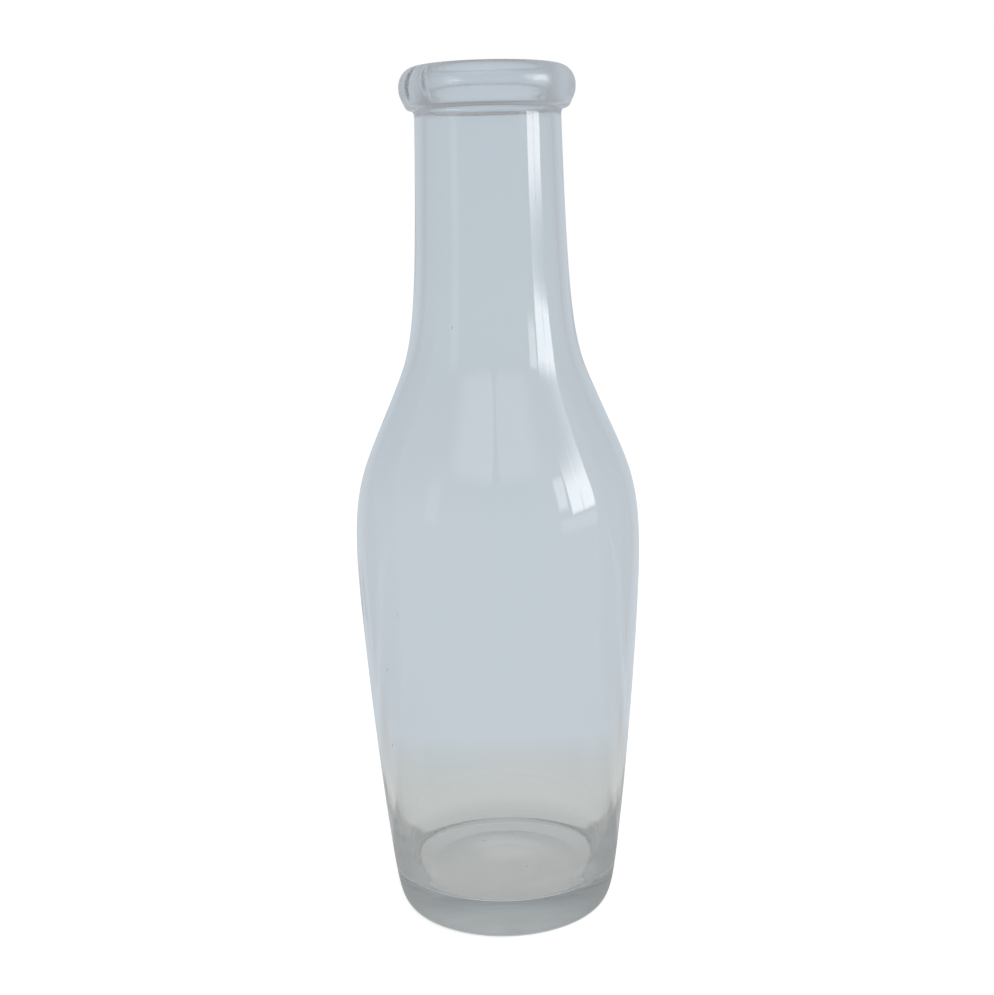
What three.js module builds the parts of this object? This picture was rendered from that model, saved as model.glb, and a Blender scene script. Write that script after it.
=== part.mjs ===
// A hand-blown clear glass bottle: a blown vessel and the lip of hot glass wound round its sheared neck.
// Millimetres, +Z up. The origin is the middle of the ring that the bottle stands on.
import * as THREE from 'three';

// Outside of the vessel, from the table up
const HEIGHT = 280; // table to the top of the lip
const STAND_RADIUS = 32.9; // outer edge of the flat ring that it stands on
const STAND_WIDTH = 7; // width of that ring
const HEEL_WIDTH = 4.9; // how far the rounded heel spreads past the ring
const HEEL_HEIGHT = 9.5;
const HEEL_LEAN = 9; // degrees that the wall leans out above the heel
const BODY_RADIUS = 47.4; // widest point of the body
const BODY_HEIGHT = 124.2; // height of the widest point
const SHOULDER_RADIUS = 32.4; // where the shoulder turns from bulging to sweeping in
const SHOULDER_HEIGHT = 179.1;
const SHOULDER_LEAN = -23; // degrees, leaning in
const NECK_RADIUS = 23.2; // at the sheared end, inside the lip
const NECK_LEAN = -1.1; // degrees, leaning in

// Inside of the vessel
const WALL = 3.2; // glass of the body, shoulder and neck
const THICKENING_HEIGHT = 50; // below this the wall grows thicker
const CAVITY_LEAN = 17; // degrees that the cavity's foot leans out
const FLOOR_HEIGHT = 13.4; // table to the edge of the cavity's floor
const FLOOR_RADIUS = 31.8; // edge of the floor, where its rounded corner starts
const FLOOR_CORNER_WIDTH = 1.8;
const FLOOR_CORNER_HEIGHT = 4;
const FLOOR_CROWN = 2.2; // rise of the middle of the floor

// Underside
const PUSH_UP = 0.8; // rise of the hollow inside the standing ring
const PONTIL_RADIUS = 13; // dish ground and polished where the holding rod was broken off
const PONTIL_DEPTH = 0.4;

// Wound lip
const LIP_HEIGHT = 13.1;
const LIP_REACH = 4.9; // how far it stands out from the neck's end
const LIP_WIDEST = 6.1; // depth of its widest line below the top
const LIP_CREST = 6.4; // from the widest line in to the crest
const LIP_TAPER = 1; // how far it draws in from the widest line to the rounded foot
const LIP_LEAN = 25; // degrees that its side leans out above the foot
const LIP_FOOT_ROUND = 2.8; // height of its rounded foot
const MOUTH_ROUND = 3; // height of the rounding from the crest into the bore
const SEAT_DEPTH = 8; // top of the lip down to the neck's sheared end
const SEAT_GAP = 0.3; // between the lip's skirt and the neck

// Lap, where the end of the wound lip closes on its start between two creases
const LAP_ANGLE = 217.5; // degrees round from +X
const LAP_TOP_WIDTH = 6.6; // between the creases at the top of the lip
const LAP_FOOT_WIDTH = 11.6; // between them at its foot
const CREASE_DEPTH = 0.7;
const CREASE_WIDTH = 1.2;
const CREASE_START = 2.1; // how far above the lip's foot they run out

// Roundness of the curves: each handle as a share of the rise of its own stretch
const QUARTER_ROUND = 0.55;
const BODY_LEAVE = 0.22;
const BODY_ARRIVE = 0.15;
const SHOULDER_LEAVE = 0.47;
const SHOULDER_ARRIVE = 0.5;
const NECK_LEAVE = 0.154;
const NECK_ARRIVE = 0.797;
const EVEN_SHARE = 0.33;
const SIDE_SHARE = 0.45;

// Fineness of the facets
const ROUND_STEPS = 60;
const HEEL_STEPS = 5;
const BODY_STEPS = 8;
const SHOULDER_STEPS = 9;
const NECK_STEPS = 9;
const CAVITY_STEPS = 6;
const CORNER_STEPS = 4;
const DISH_STEPS = 3;
const LIP_STEPS = 5;
const LAP_STEP = 1.25; // degrees between sections near the lap
const LAP_MARGIN = 6; // degrees of fine sections past each crease

// Derived sizes
const NECK_END = HEIGHT - SEAT_DEPTH;
const BORE_RADIUS = NECK_RADIUS - WALL;
const LIP_RADIUS = NECK_RADIUS + LIP_REACH;
const LIP_FOOT = HEIGHT - LIP_HEIGHT;

const OUTWARD = new THREE.Vector2(1, 0);
const UPWARD = new THREE.Vector2(0, 1);
const { degToRad } = THREE.MathUtils;

// Points of an outline are (radius, height).
function point(radius, height) {
  return new THREE.Vector2(radius, height);
}

// The direction that rises while leaning out by an angle.
function leaning(degrees) {
  return UPWARD.clone().rotateAround(new THREE.Vector2(), -degToRad(degrees));
}

// A smooth stretch of outline that leaves one point and arrives at the next along given directions.
function stretch(start, leave, leaveLength, end, arrive, arriveLength) {
  const first = start.clone().addScaledVector(leave, leaveLength);
  const second = end.clone().addScaledVector(arrive, -arriveLength);
  return new THREE.CubicBezierCurve(start, first, second, end);
}

// A quarter of an oval between two points, leaving along one direction and arriving along the other.
function quarter(start, leave, end, arrive) {
  const across = end.clone().sub(start);
  const leaveLength = Math.abs(across.dot(leave)) * QUARTER_ROUND;
  const arriveLength = Math.abs(across.dot(arrive)) * QUARTER_ROUND;
  return stretch(start, leave, leaveLength, end, arrive, arriveLength);
}

// The four stretches of the vessel's outside.
function outside() {
  const stand = point(STAND_RADIUS, 0);
  const heelTop = point(STAND_RADIUS + HEEL_WIDTH, HEEL_HEIGHT);
  const widest = point(BODY_RADIUS, BODY_HEIGHT);
  const turn = point(SHOULDER_RADIUS, SHOULDER_HEIGHT);
  const end = point(NECK_RADIUS, NECK_END);
  const bodyRise = widest.y - heelTop.y;
  const shoulderRise = turn.y - widest.y;
  const neckRise = end.y - turn.y;
  const out = leaning(HEEL_LEAN);
  const inward = leaning(SHOULDER_LEAN);
  return {
    heel: quarter(stand, OUTWARD, heelTop, out),
    body: stretch(heelTop, out, BODY_LEAVE * bodyRise, widest, UPWARD, BODY_ARRIVE * bodyRise),
    shoulder: stretch(
      widest, UPWARD, SHOULDER_LEAVE * shoulderRise, turn, inward, SHOULDER_ARRIVE * shoulderRise),
    neck: stretch(
      turn, inward, NECK_LEAVE * neckRise, end, leaning(NECK_LEAN), NECK_ARRIVE * neckRise),
  };
}

// The point one wall thickness inside a stretch of the outside.
function insideOf(curve, t) {
  const along = curve.getTangent(t);
  return curve.getPoint(t).addScaledVector(point(-along.y, along.x), WALL);
}

// Where along a rising curve a height is reached.
function shareAtHeight(curve, height) {
  let low = 0;
  let high = 1;
  while (high - low > 1e-6) {
    const middle = (low + high) / 2;
    if (curve.getPoint(middle).y < height) low = middle;
    else high = middle;
  }
  return low;
}

// The inside from a stretch's upper end down to a share of it.
function insideDown(curve, steps, lowest = 0) {
  const points = [];
  for (let i = 0; i <= steps; i += 1) {
    points.push(insideOf(curve, 1 + (lowest - 1) * (i / steps)));
  }
  return points;
}

// A shallow dome from the axis out to its edge.
function dome(radius, height, rise) {
  const points = [];
  for (let i = 0; i <= DISH_STEPS; i += 1) {
    const share = i / DISH_STEPS;
    points.push(point(radius * share, height + rise * (1 - share * share)));
  }
  return points;
}

// The dish in the middle of the underside, and the hollow from it down to the standing ring.
function underside() {
  const hollowEdge = point(PONTIL_RADIUS, PUSH_UP);
  const ringEdge = point(STAND_RADIUS - STAND_WIDTH, 0);
  const run = ringEdge.x - hollowEdge.x;
  const fall = ringEdge.clone().sub(hollowEdge).normalize();
  const hollow = stretch(hollowEdge, OUTWARD, run * QUARTER_ROUND, ringEdge, fall, PUSH_UP);
  return [
    ...dome(PONTIL_RADIUS, PUSH_UP, PONTIL_DEPTH),
    ...hollow.getPoints(DISH_STEPS).slice(1),
  ];
}

// The thick foot of the cavity: its wall drawing in, its rounded corner and its crowned floor.
function cavityFoot(wallStart, wallDown) {
  const cornerTop = point(FLOOR_RADIUS + FLOOR_CORNER_WIDTH, FLOOR_HEIGHT + FLOOR_CORNER_HEIGHT);
  const floorEdge = point(FLOOR_RADIUS, FLOOR_HEIGHT);
  const drop = wallStart.y - cornerTop.y;
  const down = leaning(CAVITY_LEAN).negate();
  const wall = stretch(wallStart, wallDown, EVEN_SHARE * drop, cornerTop, down, EVEN_SHARE * drop);
  const corner = quarter(cornerTop, down, floorEdge, OUTWARD.clone().negate());
  return [
    ...wall.getPoints(CAVITY_STEPS).slice(1),
    ...corner.getPoints(CORNER_STEPS).slice(1),
    ...dome(FLOOR_RADIUS, FLOOR_HEIGHT, FLOOR_CROWN).reverse().slice(1),
  ];
}

// The vessel's whole outline: out along the underside, up the outside, over the neck's end and down.
function vesselOutline() {
  const { heel, body, shoulder, neck } = outside();
  const thick = shareAtHeight(body, THICKENING_HEIGHT);
  const wallInside = [
    ...insideDown(neck, NECK_STEPS).slice(1),
    ...insideDown(shoulder, SHOULDER_STEPS).slice(1),
    ...insideDown(body, BODY_STEPS / 2, thick).slice(1),
  ];
  return [
    ...underside(),
    ...heel.getPoints(HEEL_STEPS),
    ...body.getPoints(BODY_STEPS).slice(1),
    ...shoulder.getPoints(SHOULDER_STEPS).slice(1),
    ...neck.getPoints(NECK_STEPS).slice(1),
    point(BORE_RADIUS, NECK_END),
    ...wallInside,
    ...cavityFoot(wallInside.at(-1), body.getTangent(thick).negate()),
  ];
}

// The lip's section: the seat on the neck's end, the skirt round it, the foot, the side and the crest.
function lipSection() {
  const inward = OUTWARD.clone().negate();
  const downward = UPWARD.clone().negate();
  const skirtRadius = NECK_RADIUS + SEAT_GAP;
  const skirtFoot = point(skirtRadius, LIP_FOOT);
  const sideFoot = point(LIP_RADIUS - LIP_TAPER, LIP_FOOT + LIP_FOOT_ROUND);
  const widest = point(LIP_RADIUS, HEIGHT - LIP_WIDEST);
  const crest = point(LIP_RADIUS - LIP_CREST, HEIGHT);
  const mouth = point(BORE_RADIUS, HEIGHT - MOUTH_ROUND);
  const sideUp = leaning(LIP_LEAN);
  const sideRise = widest.y - sideFoot.y;
  const side = stretch(
    sideFoot, sideUp, SIDE_SHARE * sideRise, widest, UPWARD, SIDE_SHARE * sideRise);
  return [
    point(BORE_RADIUS, NECK_END),
    point(skirtRadius, NECK_END),
    ...quarter(skirtFoot, OUTWARD, sideFoot, sideUp).getPoints(LIP_STEPS),
    ...side.getPoints(LIP_STEPS).slice(1),
    ...quarter(widest, UPWARD, crest, inward).getPoints(LIP_STEPS).slice(1),
    ...quarter(crest, inward, mouth, downward).getPoints(LIP_STEPS).slice(1),
  ];
}

// Half the angle between the two creases, which spread from the top of the lip to its foot.
function lapHalfAngle(height) {
  const depth = (HEIGHT - height) / LIP_HEIGHT;
  const width = LAP_TOP_WIDTH + (LAP_FOOT_WIDTH - LAP_TOP_WIDTH) * depth;
  return width / 2 / LIP_RADIUS;
}

// How deep a crease lies at an angle from the lap's middle and at a height on the lip's outer side.
function creaseAt(angle, height) {
  const across = (Math.abs(angle) - lapHalfAngle(height)) * LIP_RADIUS;
  const rise = (height - LIP_FOOT - CREASE_START) / (LIP_HEIGHT - CREASE_START);
  const upward = Math.min(Math.max(rise, 0), 1);
  return CREASE_DEPTH * Math.sin(Math.PI * upward) * Math.exp(-((2 * across / CREASE_WIDTH) ** 2));
}

// Angles of the lip's sections from the lap's middle: fine across the lap and even round the rest.
function lipAngles() {
  const fineHalf = lapHalfAngle(LIP_FOOT) + degToRad(LAP_MARGIN);
  const fineSteps = 2 * Math.ceil(fineHalf / degToRad(LAP_STEP));
  const restSteps = Math.round((ROUND_STEPS * (Math.PI - fineHalf)) / Math.PI);
  const angles = [];
  for (let i = 0; i < fineSteps; i += 1) angles.push(-fineHalf + (2 * fineHalf * i) / fineSteps);
  const rest = 2 * (Math.PI - fineHalf);
  for (let i = 0; i < restSteps; i += 1) angles.push(fineHalf + (rest * i) / restSteps);
  return angles;
}

// A closed ring through the lip's sections, with the creases pressed into its outer side.
function lipGeometry() {
  const section = lipSection();
  const angles = lipAngles();
  const outerSide = NECK_RADIUS + SEAT_GAP;
  const positions = [];
  const triangles = [];
  angles.forEach((angle, i) => {
    const turned = angle + degToRad(LAP_ANGLE);
    const nearest = angle > Math.PI ? angle - 2 * Math.PI : angle;
    const next = (i + 1) % angles.length;
    section.forEach((corner, j) => {
      const pressed = corner.x > outerSide ? creaseAt(nearest, corner.y) : 0;
      const radius = corner.x - pressed;
      positions.push(radius * Math.cos(turned), radius * Math.sin(turned), corner.y);
      const after = (j + 1) % section.length;
      const here = i * section.length + j;
      const above = i * section.length + after;
      const beside = next * section.length + j;
      const opposite = next * section.length + after;
      triangles.push(here, beside, opposite, here, opposite, above);
    });
  });
  const geometry = new THREE.BufferGeometry();
  geometry.setAttribute('position', new THREE.Float32BufferAttribute(positions, 3));
  geometry.setIndex(triangles);
  geometry.computeVertexNormals();
  return geometry;
}

function vesselGeometry() {
  return new THREE.LatheGeometry(vesselOutline(), ROUND_STEPS).rotateX(Math.PI / 2);
}

function piece(name, geometry, color) {
  const material = new THREE.MeshStandardMaterial({
    color,
    roughness: 0.05,
    metalness: 0,
    transparent: true,
    opacity: 0.35,
  });
  const mesh = new THREE.Mesh(geometry, material);
  mesh.name = name;
  return mesh;
}

const bottle = new THREE.Group();
bottle.add(piece('blown_vessel', vesselGeometry(), 0xc4cdd4));
bottle.add(piece('wound_lip', lipGeometry(), 0xb4c0c8));

export default bottle;
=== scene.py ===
import math

import bpy
import numpy as np
from mathutils import Matrix, Vector


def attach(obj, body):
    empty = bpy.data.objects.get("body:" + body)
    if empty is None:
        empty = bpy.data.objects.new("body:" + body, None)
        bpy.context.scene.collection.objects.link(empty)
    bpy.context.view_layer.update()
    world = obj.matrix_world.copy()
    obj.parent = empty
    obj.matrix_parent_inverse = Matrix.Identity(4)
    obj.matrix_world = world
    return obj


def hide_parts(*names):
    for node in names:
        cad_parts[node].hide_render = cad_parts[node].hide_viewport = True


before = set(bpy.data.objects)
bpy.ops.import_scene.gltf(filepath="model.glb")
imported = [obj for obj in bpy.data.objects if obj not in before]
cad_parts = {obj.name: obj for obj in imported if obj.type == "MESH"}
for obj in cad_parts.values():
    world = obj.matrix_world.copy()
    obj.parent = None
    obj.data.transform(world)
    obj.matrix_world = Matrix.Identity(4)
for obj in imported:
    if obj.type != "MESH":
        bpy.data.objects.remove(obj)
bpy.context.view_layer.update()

# A hand-blown clear glass bottle: a blown vessel, and a lip of hot glass wound round its sheared neck.
# Sizes are in millimetres and angles in degrees, and what is made from them is in metres. -Y is the front.
MM = 0.001

# Outside of the vessel, from the table up
HEIGHT = 280.0  # table to the top of the lip
STAND_RADIUS = 32.9  # outer edge of the flat ring that it stands on
STAND_WIDTH = 7.0  # width of that ring
HEEL_WIDTH = 4.9  # how far the rounded heel spreads past the ring
HEEL_HEIGHT = 9.5
HEEL_LEAN = 9.0  # how far the wall leans out above the heel
BODY_RADIUS = 47.4  # widest point of the body
BODY_HEIGHT = 124.2  # height of the widest point
SHOULDER_RADIUS = 32.4  # where the shoulder turns from bulging to sweeping in
SHOULDER_HEIGHT = 179.1
SHOULDER_LEAN = -23.0  # leaning in
NECK_RADIUS = 23.2  # at the sheared end, inside the lip
NECK_LEAN = -1.1  # leaning in

# Inside of the vessel
WALL = 3.2  # glass of the body, shoulder and neck
THICKENING_HEIGHT = 50.0  # below this the wall grows thicker
CAVITY_LEAN = 17.0  # how far the cavity's foot leans out
FLOOR_HEIGHT = 13.4  # table to the edge of the cavity's floor
FLOOR_RADIUS = 31.8  # edge of the floor, where its rounded corner starts
FLOOR_CORNER_WIDTH = 1.8
FLOOR_CORNER_HEIGHT = 4.0
FLOOR_CROWN = 2.2  # rise of the middle of the floor

# Underside
PUSH_UP = 0.8  # rise of the hollow inside the standing ring
PONTIL_RADIUS = 13.0  # dish ground where the holding rod was broken off
PONTIL_DEPTH = 0.4

# Wound lip
LIP_HEIGHT = 13.1
LIP_REACH = 4.9  # how far it stands out from the neck's end
LIP_WIDEST = 6.1  # depth of its widest line below the top
LIP_CREST = 5.4  # from the widest line in to the crest
LIP_TAPER = 1.0  # how far it draws in from the widest line to the rounded foot
LIP_LEAN = 25.0  # how far its side leans out above the foot
LIP_FOOT_ROUND = 2.8  # height of its rounded foot
LIP_FOOT_LEAN = 80.0  # how far it leans out where that foot meets the hollow curve below it
LIP_FILLET_HEIGHT = 2.2  # hollow curve in which the foot runs out on the neck
LIP_FILLET_WIDTH = 1.3
MOUTH_ROUND = 7.0  # height of the rounding from the crest into the bore
SEAT_DEPTH = 8.0  # top of the lip down to the neck's sheared end
FUSED_GAP = 0.01  # between the two gathers, which are fused on the real bottle

# Lap, where the end of the wound lip closes on its start between two creases
LAP_ANGLE = 217.5  # round from +X
LAP_TOP_WIDTH = 6.6  # between the creases at the top of the lip
LAP_FOOT_WIDTH = 11.6  # between them at its foot
CREASE_DEPTH = 1.2
CREASE_WIDTH = 1.5
CREASE_START = 2.1  # how far above the lip's foot they run out

NECK_END = HEIGHT - SEAT_DEPTH
BORE_RADIUS = NECK_RADIUS - WALL
LIP_RADIUS = NECK_RADIUS + LIP_REACH
LIP_FOOT = HEIGHT - LIP_HEIGHT
LIP_END = LIP_FOOT - LIP_FILLET_HEIGHT

# Roundness of the curves: each handle as a share of the rise of its own stretch
QUARTER_ROUND = 0.55
BODY_LEAVE, BODY_ARRIVE = 0.22, 0.15
SHOULDER_LEAVE, SHOULDER_ARRIVE = 0.47, 0.5
NECK_LEAVE, NECK_ARRIVE = 0.154, 0.797
EVEN_SHARE = 0.33
SIDE_SHARE = 0.45

# Slow waves that work by hand leaves in a skin: turns round the axis, millimetres to a wave up it,
# start in turns, and share
OUTER_WAVES = [(1, 310, 0.10, 0.35), (2, 190, 0.62, 0.30), (3, -120, 0.31, 0.20), (5, 90, 0.85, 0.15)]
INNER_WAVES = [(1, -240, 0.45, 0.30), (2, 130, 0.08, 0.25), (3, -85, 0.77, 0.20),
               (4, 60, 0.24, 0.15), (7, 300, 0.55, 0.10)]
LIP_WAVES = [(1, 60, 0.2, 0.4), (2, 90, 0.7, 0.3), (4, 70, 0.1, 0.2), (7, 50, 0.5, 0.1)]
OUTER_SWING = 0.22  # the outer skin only dips in, by up to this much
INNER_SWING = 0.3  # the inner skin swings both ways by up to this much
LIP_SWING = 0.12  # the lip only dips in, by up to this much
LIP_CALM_WIDTH = 1.5  # how far out from the neck the lip's waves grow to their full depth
CALM = 0.03  # share of the waves that the thick foot keeps

# Share of the waves at either end of a stretch, on a line that is cut off at the least share and at 1
BODY_GROWTH = (-1.0, 1.0)
NECK_GROWTH = (1.2, -0.12)
INNER_NECK_GROWTH = (-0.1, 1.2)
INNER_BODY_GROWTH = (1.0, -0.6)
FLOOR_GROWTH = (CALM, 0.0)

# Seeds, small bubbles drawn out in the wall: angle round from +X, height, share of the wall's
# thickness from outside, half width and half height
SEEDS = [
    (212.5, 63.9, 0.4, 0.20, 0.7), (215.5, 90.7, 0.4, 0.16, 0.6), (240.5, 199.8, 0.5, 0.18, 0.6),
    (149, 95.0, 0.5, 0.18, 0.7), (176, 140.0, 0.4, 0.16, 0.5), (18, 222.0, 0.5, 0.14, 0.5),
    (140, 240.0, 0.5, 0.14, 0.5),
]
# Seeds in the thick floor: angle, distance from the axis, height, half width and half height
FLOOR_SEEDS = [
    (130.6, 12.0, 11.0, 0.3, 0.25), (64.2, 10.1, 11.0, 0.25, 0.2), (301.9, 14.0, 11.0, 0.3, 0.22),
]

# Fineness of the vessel, round it and along its section
ROUND_STEPS = 160
UNDERSIDE_STEPS = 10
RING_STEPS = 4
HEEL_STEPS = 14
WORN_HEEL_STEPS = 3  # the lowest of those, which are worn like the underside
BODY_STEPS = 60
SHOULDER_STEPS = 44
NECK_STEPS = 52
SKIRT_STEPS = 8
SEAT_STEPS = 3
INNER_SHOULDER_STEPS = 40
UPPER_WALL_STEPS = 26
LOWER_WALL_STEPS = 36
CORNER_STEPS = 14
FLOOR_STEPS = 12

# Fineness of the lip, of a seed and of the search for a height on a curve
LAP_SPAN = 30.0  # how far to either side of the lap's middle the lip is finer
LAP_STEPS = 120
REST_STEPS = 120
FILLET_STEPS = 10
LIP_STEPS = 12
CROWN_STEPS = 14
BORE_STEPS = 5
SEED_ROUND = 10
SEED_RISE = 7
SEARCH_STEPS = 4000

SHARP_ANGLE = 40.0  # faces that turn by more than this meet in an edge
OUTWARD = np.array([1.0, 0.0])
UPWARD = np.array([0.0, 1.0])

# What a face is: free glass, glass melted into the other piece, or the worn underside
CLEAR, FUSED, WORN = 0, 1, 2

# Glass: how it bends light, the cords drawn out in its skin, traces of handling and a drifting tint
REFRACTION = 1.52
CORD_SCALE = 90.0
CORD_DRAW = (1.0, 1.0, 0.12)  # draws the cords out up the bottle
CORD_STRENGTH = 0.35
TOUCH_SCALE = 55.0
TOUCH_DETAIL = 4.0
TOUCH_RANGE = (0.42, 0.75)
DRIFT_SCALE = 14.0
DRIFT_RANGE = (0.3, 0.7)
FOOT_FADE = (12.5, 22.0)  # heights over which the thick foot's deeper tint ends
DISH_FADE = (6.0, 14.0)  # distances from the axis over which the paler dish ends

# Studio: the camera sees a white room and a pale floor. The glass shows a bluish wall close behind the
# bottle, the dimmer room round it and the grey top of a table.
WHITE = (1.0, 1.0, 1.0)
WALL_LIGHT = (0.615, 0.664, 0.713)
MIDDLE_WALL_LIGHT = (0.555, 0.61, 0.662)
HIGH_WALL_LIGHT = (0.28, 0.295, 0.31)
ROOM_LIGHT = (0.46, 0.48, 0.51)
CEILING_LIGHT = (0.34, 0.355, 0.37)
WINDOW_SIDE_LIGHT = (0.40, 0.42, 0.43)
TABLE_LIGHT = (0.61, 0.62, 0.61)
SHADE_LIGHT = (0.40, 0.40, 0.395)  # painted shade on the table at the sides and in front of the bottle
UNDER_LIGHT = (0.605, 0.60, 0.585)  # the table under the bottle
BELOW_WINDOW_LIGHT = (1.0, 0.95, 0.93)

# Where those lights fade into each other in the room: shares of a direction to the back, up or right
BEHIND = (0.45, 1.0)
ABOVE = (-0.05, 0.45)
WINDOW_SIDE = (0.1, 0.8)
MIDDLE_WALL = (-0.3, 0.1)
HIGH_WALL = (0.3, 0.65)

# Floor and table, which lie just below the bottle
FLOOR_REACH = 6000.0  # from the bottle to its edges
FLOOR_DROP = 0.2
FLOOR_COLOUR = (0.6, 0.6, 0.6)
FLOOR_GLOW = (0.80, 0.79, 0.78)
FLOOR_ROUGHNESS = 0.9
TABLE_SIDE = 1500.0
TABLE_FRONT = 1000.0
TABLE_DROP = 0.3
UNDER_REACH = (31.5, 40.0)  # distances from the axis over which the light under the bottle ends
SHADE_EDGE = (34.0, 42.0)  # how far behind the axis the painted shade ends
FAR_TABLE = (80.0, 260.0)  # distances from the axis over which the table takes the room's light
WALL_FOOT = (90.0, 160.0)  # where the table starts to take the wall's colour, and where the wall stands

# Soft lights: a window at the right with a glow below it, two panes of another window high behind the
# camera, and a faint one at the left. Each has its name, the azimuths of its sides, turning from the
# front to the right, the elevations of its lower and upper edge, its brightness, the degrees over which
# its left, right, lower and upper edge fade in, and its colour.
PANE_DISTANCE = 3000.0
PANES = [
    ("window_left_pane", (49, 60), (6.5, 27), 3.2, (3.0, 1.0, 5.0, 4.0), WHITE),
    ("window_middle_pane", (61.5, 74), (3.9, 32), 6.6, (1.0, 0.5, 2.8, 15.0), WHITE),
    ("window_right_pane", (74, 87), (3.9, 32), 6.6, (0.5, 1.5, 2.8, 15.0), WHITE),
    ("below_window", (48, 87), (-4, 4), 0.9, (6.0, 3.0, 3.0, 1.0), BELOW_WINDOW_LIGHT),
    ("high_left_pane", (-48, -7.5), (26, 66), 1.0, (18.0, 0.8, 10.0, 14.0), WHITE),
    ("high_right_pane", (7.5, 48), (26, 66), 0.8, (0.8, 18.0, 10.0, 14.0), WHITE),
    ("far_left_pane", (-63, -46), (2, 32), 0.6, (6.0, 5.0, 4.0, 14.0), WHITE),
]
MIDDLE = Vector((0.0, 0.0, HEIGHT / 2 * MM))  # what the panes face

# Camera, at the photo's own viewpoint
CAMERA_PLACE = (0.0, -476.0, 235.6)
CAMERA_PITCH = 11.21  # looking down
CAMERA_ROLL = 1.396
SENSOR_WIDTH = 36.0
PHOTO_FOCUS = 1452.1  # pixels
PHOTO_WIDTH = 994  # pixels
NEAREST_SEEN = 10.0
BOUNCES = 128  # enough for light that runs along inside the wall


def point(radius, height):
    """A point of a section."""
    return np.array([radius, height], float)


def leaning(degrees):
    """The direction that rises while leaning out by an angle."""
    angle = math.radians(degrees)
    return np.array([math.sin(angle), math.cos(angle)])


def stretch(start, leave, leave_length, end, arrive, arrive_length):
    """A smooth stretch of outline between two points, as the corners of a cubic curve."""
    return np.array([start, start + leave * leave_length, end - arrive * arrive_length, end])


def quarter(start, leave, end, arrive):
    """A quarter of an oval, leaving along one direction and arriving along the other."""
    across = end - start
    return stretch(start, leave, abs(across @ leave) * QUARTER_ROUND,
                   end, arrive, abs(across @ arrive) * QUARTER_ROUND)


def even(steps, first=0.0, last=1.0):
    """Shares of a curve's length at even steps."""
    return np.linspace(first, last, steps + 1)


def along(curve, shares):
    """Points of a curve at some shares of it."""
    t = np.asarray(shares, float)[:, None]
    a, b, c, d = curve
    return (1 - t) ** 3 * a + 3 * (1 - t) ** 2 * t * b + 3 * (1 - t) * t * t * c + t ** 3 * d


def heading(curve, shares):
    """Unit directions of travel along a curve."""
    t = np.asarray(shares, float)[:, None]
    a, b, c, d = curve
    slope = (1 - t) ** 2 * (b - a) + 2 * (1 - t) * t * (c - b) + t * t * (d - c)
    return slope / np.linalg.norm(slope, axis=1)[:, None]


# The next three leave out the first point, because the stretch before it ends there.
def onward(curve, steps, first=0.0, last=1.0):
    """Points along a stretch."""
    return along(curve, even(steps, first, last))[1:]


def inside_of(curve, steps, first, last):
    """Points one wall thickness inside a stretch of the outside."""
    shares = even(steps, first, last)
    turn = heading(curve, shares)
    return (along(curve, shares) + WALL * np.stack([-turn[:, 1], turn[:, 0]], axis=1))[1:]


def straight(start, end, steps):
    """Points on a straight line."""
    return np.linspace(start, end, steps + 1)[1:]


def dome(radius, height, rise, steps):
    """Points from the axis out to the edge of a low dome."""
    share = even(steps)
    return np.stack([radius * share, height + rise * (1 - share ** 2)], axis=1)


def share_at_height(curve, height):
    """The share of a rising curve at which it reaches a height."""
    shares = even(SEARCH_STEPS)
    return float(np.interp(height, along(curve, shares)[:, 1], shares))


def outside():
    """The four stretches of the vessel's outside."""
    stand = point(STAND_RADIUS, 0)
    heel_top = point(STAND_RADIUS + HEEL_WIDTH, HEEL_HEIGHT)
    widest = point(BODY_RADIUS, BODY_HEIGHT)
    turn = point(SHOULDER_RADIUS, SHOULDER_HEIGHT)
    end = point(NECK_RADIUS, NECK_END)
    body_rise = BODY_HEIGHT - HEEL_HEIGHT
    shoulder_rise = SHOULDER_HEIGHT - BODY_HEIGHT
    neck_rise = NECK_END - SHOULDER_HEIGHT
    out, inward = leaning(HEEL_LEAN), leaning(SHOULDER_LEAN)
    heel = quarter(stand, OUTWARD, heel_top, out)
    body = stretch(heel_top, out, BODY_LEAVE * body_rise, widest, UPWARD, BODY_ARRIVE * body_rise)
    shoulder = stretch(widest, UPWARD, SHOULDER_LEAVE * shoulder_rise,
                       turn, inward, SHOULDER_ARRIVE * shoulder_rise)
    neck = stretch(turn, inward, NECK_LEAVE * neck_rise,
                   end, leaning(NECK_LEAN), NECK_ARRIVE * neck_rise)
    return heel, body, shoulder, neck


def run(points, slot=CLEAR, outer=0.0, inner=0.0):
    """Points of a section, the slot of the way to each, and how far each takes either skin's waves."""
    count = len(points)
    return points, np.full(count, slot), np.broadcast_to(outer, count), np.broadcast_to(inner, count)


def growth(steps, ends, least=0.0):
    """Shares of the waves at the points of a stretch."""
    return np.clip(np.linspace(*ends, steps), least, 1)


def underside_runs():
    """From the middle of the underside out to the edge of the standing ring."""
    hollow_edge = point(PONTIL_RADIUS, PUSH_UP)
    ring_edge = point(STAND_RADIUS - STAND_WIDTH, 0)
    fall = (ring_edge - hollow_edge) / np.linalg.norm(ring_edge - hollow_edge)
    hollow = stretch(hollow_edge, OUTWARD, (ring_edge[0] - hollow_edge[0]) * QUARTER_ROUND,
                     ring_edge, fall, PUSH_UP)
    return [
        run(dome(PONTIL_RADIUS, PUSH_UP, PONTIL_DEPTH, UNDERSIDE_STEPS), WORN),
        run(onward(hollow, UNDERSIDE_STEPS), WORN),
        run(straight(ring_edge, point(STAND_RADIUS, 0), RING_STEPS), WORN),
    ]


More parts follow.
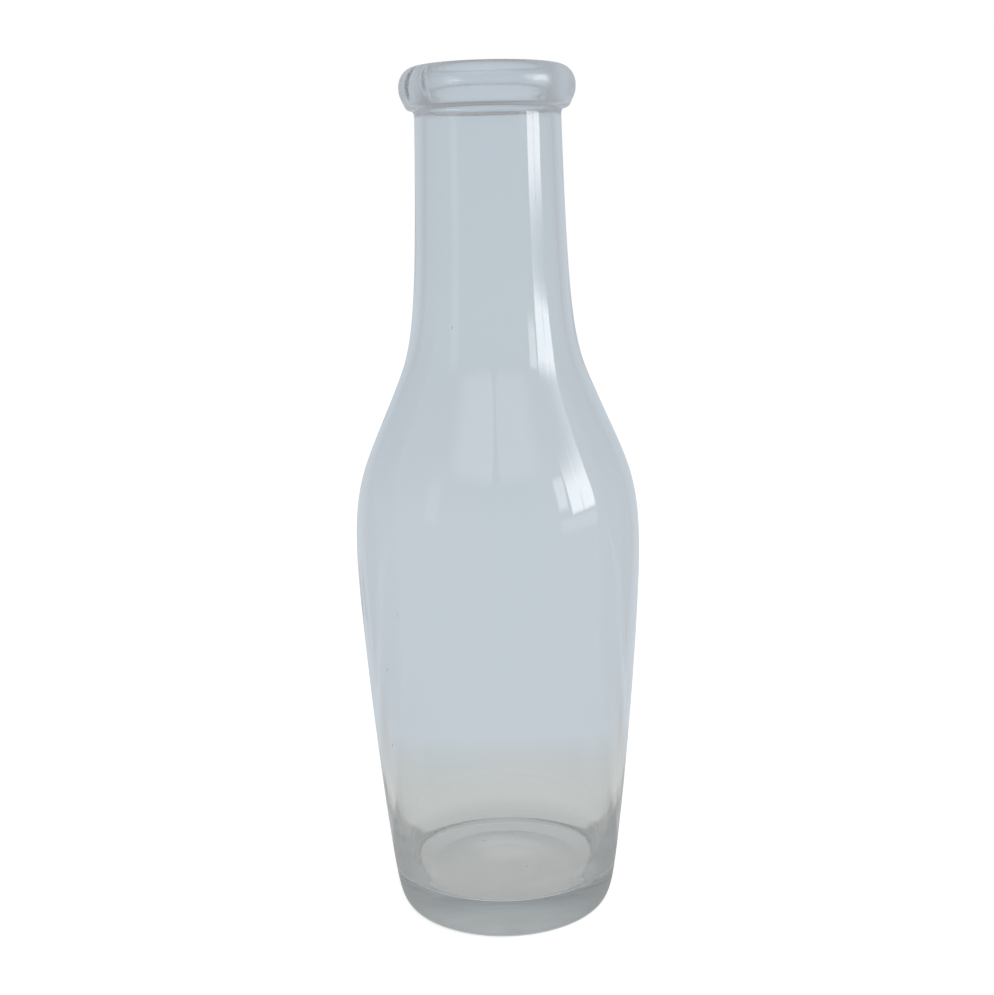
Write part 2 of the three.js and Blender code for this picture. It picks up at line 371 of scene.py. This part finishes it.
def outer_runs():
    """From the standing ring up the outside and over the neck's sheared end."""
    heel, body, shoulder, neck = outside()
    heel_points = onward(heel, HEEL_STEPS)
    lip_end = share_at_height(neck, LIP_END)
    sheared = straight(point(NECK_RADIUS, NECK_END), point(BORE_RADIUS, NECK_END), SEAT_STEPS)
    return [
        run(heel_points[:WORN_HEEL_STEPS], WORN, outer=CALM),
        run(heel_points[WORN_HEEL_STEPS:], outer=CALM),
        run(onward(body, BODY_STEPS), outer=growth(BODY_STEPS, BODY_GROWTH, CALM)),
        run(onward(shoulder, SHOULDER_STEPS), outer=1.0),
        run(onward(neck, NECK_STEPS, 0.0, lip_end), outer=growth(NECK_STEPS, NECK_GROWTH)),
        run(onward(neck, SKIRT_STEPS, lip_end, 1.0), FUSED),
        run(sheared, FUSED),
    ]


def inner_runs():
    """From the neck's end down the inside to the middle of the floor."""
    _, body, shoulder, neck = outside()
    thick = share_at_height(body, THICKENING_HEIGHT)
    upper = inside_of(body, UPPER_WALL_STEPS, 1.0, thick)
    corner_top = point(FLOOR_RADIUS + FLOOR_CORNER_WIDTH, FLOOR_HEIGHT + FLOOR_CORNER_HEIGHT)
    floor_edge = point(FLOOR_RADIUS, FLOOR_HEIGHT)
    drop = upper[-1][1] - corner_top[1]
    down = -leaning(CAVITY_LEAN)
    lower = stretch(upper[-1], -heading(body, [thick])[0], EVEN_SHARE * drop,
                    corner_top, down, EVEN_SHARE * drop)
    corner = quarter(corner_top, down, floor_edge, -OUTWARD)
    floor = dome(FLOOR_RADIUS, FLOOR_HEIGHT, FLOOR_CROWN, FLOOR_STEPS)[::-1][1:]
    return [
        run(inside_of(neck, NECK_STEPS, 1.0, 0.0), inner=growth(NECK_STEPS, INNER_NECK_GROWTH)),
        run(inside_of(shoulder, INNER_SHOULDER_STEPS, 1.0, 0.0), inner=1.0),
        run(upper, inner=growth(UPPER_WALL_STEPS, INNER_BODY_GROWTH, CALM)),
        run(onward(lower, LOWER_WALL_STEPS), inner=CALM),
        run(onward(corner, CORNER_STEPS), inner=CALM),
        run(floor, inner=growth(FLOOR_STEPS, FLOOR_GROWTH)),
    ]


def waves(table, angle, height):
    """Between -1 and 1, for arrays of angles in radians and heights in millimetres."""
    total = 0.0
    for turns, pitch, start, share in table:
        total = total + share * np.sin(turns * angle + 2 * math.pi * (height / pitch + start))
    return total


def turned(radii, heights, angles):
    """Rings of points: one row for each height of the section, one column for each angle."""
    return np.stack([radii * np.cos(angles), radii * np.sin(angles),
                     np.broadcast_to(heights, radii.shape)], axis=2)


def add_object(name, data):
    """Puts a mesh, a light or a camera into the scene."""
    thing = bpy.data.objects.new(name, data)
    bpy.context.scene.collection.objects.link(thing)
    return thing


def make_mesh(name, corners, faces, slots):
    """A smooth piece of glass, sharp only where its faces turn far."""
    mesh = bpy.data.meshes.new(name)
    mesh.from_pydata((np.asarray(corners) * MM).tolist(), [], faces)
    mesh.polygons.foreach_set("material_index", np.asarray(slots, np.int32))
    mesh.shade_smooth()
    mesh.set_sharp_from_angle(angle=math.radians(SHARP_ANGLE))
    mesh.update()
    return add_object(name, mesh)


def seed_shell(angle, radius, height, half_width, half_height):
    """A closed bubble, facing inwards because the glass is outside it."""
    corners, faces = [], []
    for i in range(1, SEED_RISE):
        tilt = math.pi * i / SEED_RISE
        for k in range(SEED_ROUND):
            turn = 2 * math.pi * k / SEED_ROUND
            corners.append((half_width * math.sin(tilt) * math.cos(turn),
                            half_width * math.sin(tilt) * math.sin(turn),
                            -half_height * math.cos(tilt)))
    rows = SEED_RISE - 1
    corners += [(0, 0, -half_height), (0, 0, half_height)]
    bottom, top = len(corners) - 2, len(corners) - 1
    last = (rows - 1) * SEED_ROUND
    for k in range(SEED_ROUND):
        n = (k + 1) % SEED_ROUND
        faces.append((bottom, k, n))
        faces.append((top, last + n, last + k))
        for i in range(rows - 1):
            low, high = i * SEED_ROUND, (i + 1) * SEED_ROUND
            faces.append((low + k, high + k, high + n, low + n))
    turn = math.radians(angle)
    centre = np.array([radius * math.cos(turn), radius * math.sin(turn), height])
    return np.array(corners) + centre, faces


def wall_at(points, outer, inner, height):
    """Outer and inner radius of the wall at a height."""
    found = []
    for mask in (outer > 0, inner > 0):
        section = points[mask]
        order = np.argsort(section[:, 1], kind="stable")
        found.append(float(np.interp(height, section[order, 1], section[order, 0])))
    return found


def all_seeds(points, outer, inner):
    """The seeds of the floor and of the wall, each with its distance from the axis."""
    seeds = list(FLOOR_SEEDS)
    for angle, height, depth, half_width, half_height in SEEDS:
        wide, narrow = wall_at(points, outer, inner, height)
        seeds.append((angle, wide + (narrow - wide) * depth, height, half_width, half_height))
    return seeds


def vessel_faces(slots):
    """Faces from ring to ring, closed by fans in the middle of the underside and of the floor."""
    rings = len(slots) - 1
    under, floor = rings * ROUND_STEPS, rings * ROUND_STEPS + 1
    faces, face_slots = [], []
    for i, slot in enumerate(slots):
        low, high = (i - 1) * ROUND_STEPS, i * ROUND_STEPS
        for k in range(ROUND_STEPS):
            n = (k + 1) % ROUND_STEPS
            if i == 0:
                faces.append((under, high + n, high + k))
            elif i == rings:
                faces.append((low + k, low + n, floor))
            else:
                faces.append((low + k, low + n, high + n, high + k))
            face_slots.append(slot)
    return faces, face_slots


def make_vessel():
    """Base, body, shoulder and neck, with waves in both skins and seeds in the glass."""
    runs = underside_runs() + outer_runs() + inner_runs()
    points, slots, outer, inner = (np.concatenate(column) for column in zip(*runs))
    angles = 2 * math.pi * np.arange(ROUND_STEPS) / ROUND_STEPS
    height = points[:, 1][:, None]
    dip = outer[:, None] * OUTER_SWING * (waves(OUTER_WAVES, angles, height) + 1) / 2
    swing = inner[:, None] * INNER_SWING * waves(INNER_WAVES, angles, height)
    rings = turned(points[:, 0][:, None] - dip + swing, height, angles[None, :])
    corners = np.concatenate([rings[1:-1].reshape(-1, 3), rings[:1, 0], rings[-1:, 0]])
    faces, face_slots = vessel_faces(slots[1:])
    for seed in all_seeds(points, outer, inner):
        shell, shell_faces = seed_shell(*seed)
        base = len(corners)
        corners = np.concatenate([corners, shell])
        faces += [tuple(base + corner for corner in face) for face in shell_faces]
        face_slots += [CLEAR] * len(shell_faces)
    return make_mesh("glass_vessel", corners, faces, face_slots)


def lip_section():
    """Points of the lip's section, the slot from each to the next, and how many lie on the neck."""
    _, _, _, neck = outside()
    skirt = along(neck, even(SKIRT_STEPS, 1.0, share_at_height(neck, LIP_END))) + FUSED_GAP * OUTWARD
    fillet_top = point(skirt[-1][0] + LIP_FILLET_WIDTH, LIP_FOOT)
    side_foot = point(LIP_RADIUS - LIP_TAPER, LIP_FOOT + LIP_FOOT_ROUND)
    widest = point(LIP_RADIUS, HEIGHT - LIP_WIDEST)
    crest = point(LIP_RADIUS - LIP_CREST, HEIGHT)
    mouth = point(BORE_RADIUS, HEIGHT - MOUTH_ROUND)
    seat_edge = point(BORE_RADIUS, NECK_END + FUSED_GAP)
    foot_out, side_up = leaning(LIP_FOOT_LEAN), leaning(LIP_LEAN)
    rise = widest[1] - side_foot[1]
    side = stretch(side_foot, side_up, SIDE_SHARE * rise, widest, UPWARD, SIDE_SHARE * rise)
    seated = np.concatenate([
        [seat_edge],
        straight(seat_edge, skirt[0] + FUSED_GAP * UPWARD, SEAT_STEPS),
        skirt[1:],
    ])
    free = np.concatenate([
        onward(quarter(skirt[-1], UPWARD, fillet_top, foot_out), FILLET_STEPS),
        onward(quarter(fillet_top, foot_out, side_foot, side_up), LIP_STEPS),
        onward(side, LIP_STEPS),
        onward(quarter(widest, UPWARD, crest, -OUTWARD), CROWN_STEPS),
        onward(quarter(crest, -OUTWARD, mouth, -UPWARD), LIP_STEPS),
        straight(mouth, seat_edge, BORE_STEPS)[:-1],
    ])
    slots = [FUSED] * (len(seated) - 1) + [CLEAR] * (len(free) + 1)
    return np.concatenate([seated, free]), slots, len(seated)


def crease_depth(angle, height):
    """How deep the creases of the lap lie, for angles from its middle in radians and heights."""
    rise = (height - LIP_FOOT - CREASE_START) / (LIP_HEIGHT - CREASE_START)
    upward = np.clip(rise, 0, 1)
    below_top = (HEIGHT - height) / LIP_HEIGHT
    lap_width = LAP_TOP_WIDTH + (LAP_FOOT_WIDTH - LAP_TOP_WIDTH) * below_top
    half_widths = (np.abs(angle) * LIP_RADIUS - lap_width / 2) / (CREASE_WIDTH / 2)
    return CREASE_DEPTH * np.sin(math.pi * upward) * np.exp(-(half_widths ** 2))


def make_lip():
    """The wound lip, with slow waves and the two creases of its lap."""
    section, slots, seated_count = lip_section()
    span = math.radians(LAP_SPAN)
    fine = np.linspace(-span, span, LAP_STEPS, endpoint=False)
    rest = np.linspace(span, 2 * math.pi - span, REST_STEPS, endpoint=False)
    angles = np.concatenate([fine, rest])
    nearest = np.where(angles > math.pi, angles - 2 * math.pi, angles)[None, :]
    radius, height = section[:, 0][:, None], section[:, 1][:, None]
    outer = np.clip((radius - NECK_RADIUS - FUSED_GAP) / LIP_CALM_WIDTH, 0, 1)
    outer[:seated_count] = 0
    pressed = crease_depth(nearest, height) * (outer > 0)
    pressed = pressed + outer * LIP_SWING * (waves(LIP_WAVES, nearest, height) + 1) / 2
    rings = turned(radius - pressed, height, (angles + math.radians(LAP_ANGLE))[None, :])
    count, around = len(section), len(angles)
    faces, face_slots = [], []
    for i, slot in enumerate(slots):
        low, high = i * around, ((i + 1) % count) * around
        for k in range(around):
            n = (k + 1) % around
            faces.append((low + k, low + n, high + n, high + k))
            face_slots.append(slot)
    return make_mesh("glass_lip", rings.reshape(-1, 3), faces, face_slots)


def new_material(name):
    """A material and its node tree."""
    material = bpy.data.materials.new(name)
    material.use_nodes = True
    return material, material.node_tree


def link(tree, source, target):
    tree.links.new(source, target)


def opaque(colour):
    """A colour with its alpha."""
    return (*colour, 1.0)


def split(tree, vector):
    """The X, Y and Z of a vector."""
    axes = tree.nodes.new("ShaderNodeSeparateXYZ")
    link(tree, vector, axes.inputs["Vector"])
    return axes.outputs


def from_axis(tree, place):
    """How far a place is from the bottle's axis."""
    level = tree.nodes.new("ShaderNodeVectorMath")
    level.operation = "MULTIPLY"
    level.inputs[1].default_value = (1.0, 1.0, 0.0)
    link(tree, place, level.inputs[0])
    reach = tree.nodes.new("ShaderNodeVectorMath")
    reach.operation = "LENGTH"
    link(tree, level.outputs["Vector"], reach.inputs[0])
    return reach.outputs["Value"]


def noise(tree, place, scale, detail=2.0):
    """A cloudy pattern between 0 and 1."""
    texture = tree.nodes.new("ShaderNodeTexNoise")
    texture.inputs["Scale"].default_value = scale
    texture.inputs["Detail"].default_value = detail
    link(tree, place, texture.inputs["Vector"])
    return texture.outputs["Fac"]


def fade(tree, value, low, high):
    """A soft step from 0 to 1 as a value goes from low to high."""
    step = tree.nodes.new("ShaderNodeMapRange")
    step.interpolation_type = "SMOOTHSTEP"
    step.inputs["From Min"].default_value = low
    step.inputs["From Max"].default_value = high
    link(tree, value, step.inputs["Value"])
    return step.outputs["Result"]


def fade_over(tree, value, span):
    """A soft step for a length, over a span in millimetres."""
    return fade(tree, value, span[0] * MM, span[1] * MM)


def blend(tree, factor, first, second):
    """One colour fading into another, each a fixed colour or a node's output."""
    mix = tree.nodes.new("ShaderNodeMix")
    mix.data_type = "RGBA"
    factor_socket, first_socket, second_socket = mix.inputs[0], mix.inputs[6], mix.inputs[7]
    link(tree, factor, factor_socket)
    for socket, colour in ((first_socket, first), (second_socket, second)):
        if isinstance(colour, tuple):
            socket.default_value = opaque(colour)
        else:
            link(tree, colour, socket)
    return mix.outputs[2]


def make_glass(name, tints, rough, cord_depth, foot=None, core=None):
    """Clear blown glass: faint drawn cords in its skin, a trace of handling, a tint that drifts.

    Core is its tint round the axis, and foot its tint low down, outside the core.
    """
    material, tree = new_material(name)
    shader = tree.nodes["Principled BSDF"]
    shader.inputs["Transmission Weight"].default_value = 1.0
    shader.inputs["IOR"].default_value = REFRACTION
    place = tree.nodes.new("ShaderNodeTexCoord").outputs["Object"]

    drawn = tree.nodes.new("ShaderNodeMapping")
    drawn.inputs["Scale"].default_value = CORD_DRAW
    link(tree, place, drawn.inputs["Vector"])
    bump = tree.nodes.new("ShaderNodeBump")
    bump.inputs["Strength"].default_value = CORD_STRENGTH
    bump.inputs["Distance"].default_value = cord_depth * MM
    link(tree, noise(tree, drawn.outputs["Vector"], CORD_SCALE), bump.inputs["Height"])
    link(tree, bump.outputs["Normal"], shader.inputs["Normal"])

    polish = tree.nodes.new("ShaderNodeMapRange")
    for socket, value in zip(("From Min", "From Max", "To Min", "To Max"), (*TOUCH_RANGE, *rough)):
        polish.inputs[socket].default_value = value
    link(tree, noise(tree, place, TOUCH_SCALE, TOUCH_DETAIL), polish.inputs["Value"])
    link(tree, polish.outputs["Result"], shader.inputs["Roughness"])

    tint = tree.nodes.new("ShaderNodeValToRGB")
    for stop, position, colour in zip(tint.color_ramp.elements, DRIFT_RANGE, tints):
        stop.position = position
        stop.color = opaque(colour)
    link(tree, noise(tree, place, DRIFT_SCALE), tint.inputs["Fac"])
    colour = tint.outputs["Color"]
    if foot or core:
        outside_core = fade_over(tree, from_axis(tree, place), DISH_FADE)
    if core:
        colour = blend(tree, outside_core, core, colour)
    if foot:
        deep = blend(tree, outside_core, colour, foot)
        colour = blend(tree, fade_over(tree, split(tree, place)["Z"], FOOT_FADE), deep, colour)
    link(tree, colour, shader.inputs["Base Color"])
    return material


def make_fused_glass():
    """Where two gathers have melted together no surface is left between them."""
    material, tree = new_material("fused_glass")
    tree.nodes.remove(tree.nodes["Principled BSDF"])
    clear = tree.nodes.new("ShaderNodeBsdfTransparent")
    link(tree, clear.outputs["BSDF"], tree.nodes["Material Output"].inputs["Surface"])
    return material


def make_world():
    """White to the camera. To the glass, a room with a bluish wall behind the bottle."""
    world = bpy.data.worlds.new("studio")
    bpy.context.scene.world = world
    world.use_nodes = True
    tree = world.node_tree
    around = tree.nodes["Background"]
    direction = split(tree, tree.nodes.new("ShaderNodeTexCoord").outputs["Generated"])
    window_side = fade(tree, direction["X"], *WINDOW_SIDE)
    ceiling = blend(tree, window_side, CEILING_LIGHT, WINDOW_SIDE_LIGHT)
    room = blend(tree, fade(tree, direction["Z"], *ABOVE), ROOM_LIGHT, ceiling)
    wall = blend(tree, fade(tree, direction["Z"], *MIDDLE_WALL), WALL_LIGHT, MIDDLE_WALL_LIGHT)
    wall = blend(tree, fade(tree, direction["Z"], *HIGH_WALL), wall, HIGH_WALL_LIGHT)
    link(tree, blend(tree, fade(tree, direction["Y"], *BEHIND), room, wall), around.inputs["Color"])
    seen = tree.nodes.new("ShaderNodeBackground")
    seen.inputs["Color"].default_value = opaque(WHITE)
    path = tree.nodes.new("ShaderNodeLightPath")
    mix = tree.nodes.new("ShaderNodeMixShader")
    link(tree, path.outputs["Is Camera Ray"], mix.inputs["Fac"])
    link(tree, around.outputs["Background"], mix.inputs[1])
    link(tree, seen.outputs["Background"], mix.inputs[2])
    link(tree, mix.outputs["Shader"], tree.nodes["World Output"].inputs["Surface"])


def flat_sheet(name, low, high, drop):
    """A level rectangle of the stage, between two corners (x, y), this far below the bottle."""
    (left, front), (right, back) = low, high
    corners = [(left, front, 0), (right, front, 0), (right, back, 0), (left, back, 0)]
    mesh = bpy.data.meshes.new(name)
    mesh.from_pydata([tuple(size * MM for size in corner) for corner in corners], [], [(0, 1, 2, 3)])
    sheet = add_object(name, mesh)
    sheet.location.z = -drop * MM
    material, tree = new_material(name)
    mesh.materials.append(material)
    return sheet, tree


def make_floor():
    """The pale floor that the camera sees, nearly as white as the room."""
    corner = (FLOOR_REACH, FLOOR_REACH)
    floor, tree = flat_sheet("floor", (-FLOOR_REACH, -FLOOR_REACH), corner, FLOOR_DROP)
    shader = tree.nodes["Principled BSDF"]
    shader.inputs["Base Color"].default_value = opaque(FLOOR_COLOUR)
    shader.inputs["Roughness"].default_value = FLOOR_ROUGHNESS
    shader.inputs["Specular IOR Level"].default_value = 0.0
    shader.inputs["Emission Color"].default_value = opaque(FLOOR_GLOW)
    shader.inputs["Emission Strength"].default_value = 1.0
    floor.visible_transmission = False
    floor.visible_glossy = False


def make_table():
    """The table as the glass shows it: a grey glowing sheet, with painted shade that makes it darker
    beside the bottle than behind it.
    """
    low, high = (-TABLE_SIDE, -TABLE_FRONT), (TABLE_SIDE, WALL_FOOT[1])
    table, tree = flat_sheet("table", low, high, TABLE_DROP)
    tree.nodes.remove(tree.nodes["Principled BSDF"])
    glow = tree.nodes.new("ShaderNodeEmission")
    link(tree, glow.outputs["Emission"], tree.nodes["Material Output"].inputs["Surface"])
    place = tree.nodes.new("ShaderNodeTexCoord").outputs["Object"]
    reach = from_axis(tree, place)
    backwards = split(tree, place)["Y"]
    # Painted shade: darker at the sides of the bottle and in front of it, fading into the lit table behind
    grey = blend(tree, fade_over(tree, backwards, SHADE_EDGE), SHADE_LIGHT, TABLE_LIGHT)
    grey = blend(tree, fade_over(tree, reach, UNDER_REACH), UNDER_LIGHT, grey)
    grey = blend(tree, fade_over(tree, reach, FAR_TABLE), grey, ROOM_LIGHT)
    grey = blend(tree, fade_over(tree, backwards, WALL_FOOT), grey, WALL_LIGHT)
    link(tree, grey, glow.inputs["Color"])
    table.active_material.cycles.emission_sampling = "NONE"
    for kind in ("camera", "diffuse", "shadow", "volume_scatter"):
        setattr(table, f"visible_{kind}", False)


def soften(light, left, right, low, high):
    """Lets a light's edges fade in, over shares of its width at either side and of its height."""
    light.use_nodes = True
    tree = light.node_tree
    emission = next(node for node in tree.nodes if node.type == "EMISSION")
    across = split(tree, tree.nodes.new("ShaderNodeNewGeometry").outputs["Parametric"])
    strength = fade(tree, across["X"], 0, left)
    for axis, start, end in (("X", 1, 1 - right), ("Y", 0, low), ("Y", 1, 1 - high)):
        product = tree.nodes.new("ShaderNodeMath")
        product.operation = "MULTIPLY"
        link(tree, strength, product.inputs[0])
        link(tree, fade(tree, across[axis], start, end), product.inputs[1])
        strength = product.outputs["Value"]
    link(tree, strength, emission.inputs["Strength"])


def make_pane(name, sides, heights, brightness, soft, colour):
    """A soft rectangular light that faces the bottle and fills a range of directions seen from it."""
    distance = PANE_DISTANCE * MM
    width, height = sides[1] - sides[0], heights[1] - heights[0]
    light = bpy.data.lights.new(name, "AREA")
    light.shape = "RECTANGLE"
    light.size = 2 * distance * math.tan(math.radians(width) / 2)
    light.size_y = 2 * distance * math.tan(math.radians(height) / 2)
    light.energy = brightness * math.pi * light.size * light.size_y
    light.color = colour
    left, right, low, high = soft
    soften(light, left / width, right / width, low / height, high / height)
    turn, tilt = math.radians(sum(sides) / 2), math.radians(sum(heights) / 2)
    away = Vector((math.sin(turn) * math.cos(tilt), -math.cos(turn) * math.cos(tilt), math.sin(tilt)))
    pane = add_object(name, light)
    pane.visible_transmission = False
    pane.location = MIDDLE + away * distance
    pane.rotation_euler = away.to_track_quat("Z", "Y").to_euler()


def make_camera():
    """The photo's own viewpoint, with its slight roll."""
    pitch, roll = math.radians(CAMERA_PITCH), math.radians(CAMERA_ROLL)
    forward = Vector((0.0, math.cos(pitch), -math.sin(pitch)))
    right = Vector((1.0, 0.0, 0.0))
    up = right.cross(forward)
    level = right * math.cos(roll) - up * math.sin(roll)
    upright = right * math.sin(roll) + up * math.cos(roll)
    camera = bpy.data.cameras.new("camera")
    camera.sensor_fit = "HORIZONTAL"
    camera.sensor_width = SENSOR_WIDTH
    camera.lens = SENSOR_WIDTH * PHOTO_FOCUS / PHOTO_WIDTH
    camera.clip_start = NEAREST_SEEN * MM
    holder = add_object("camera", camera)
    turn = Matrix((level, upright, -forward)).transposed()
    holder.matrix_world = Matrix.Translation(Vector(CAMERA_PLACE) * MM) @ turn.to_4x4()
    bpy.context.scene.camera = holder


make_camera()
vessel_glass = make_glass("vessel_glass", tints=((0.955, 0.975, 0.978), (0.975, 0.985, 0.988)),
                          rough=(0.0, 0.035), cord_depth=0.25, foot=(0.82, 0.845, 0.84), core=WHITE)
lip_glass = make_glass("lip_glass", tints=((0.925, 0.95, 0.972), (0.952, 0.972, 0.987)),
                       rough=(0.18, 0.24), cord_depth=0.1)
worn_glass = make_glass("worn_underside", tints=((0.93, 0.95, 0.95), (0.96, 0.97, 0.97)),
                        rough=(0.3, 0.4), cord_depth=0.3, core=WHITE)
fused_glass = make_fused_glass()

vessel = make_vessel()
for material in (vessel_glass, fused_glass, worn_glass):
    vessel.data.materials.append(material)
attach(vessel, "root")
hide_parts("blown_vessel")

lip = make_lip()
for material in (lip_glass, fused_glass):
    lip.data.materials.append(material)
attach(lip, "root")
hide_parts("wound_lip")

make_world()
make_floor()
make_table()
for row in PANES:
    make_pane(*row)

scene = bpy.context.scene
scene.view_settings.view_transform = "Standard"
scene.cycles.max_bounces = BOUNCES
scene.cycles.transmission_bounces = BOUNCES
scene.cycles.glossy_bounces = BOUNCES
scene.cycles.transparent_max_bounces = BOUNCES
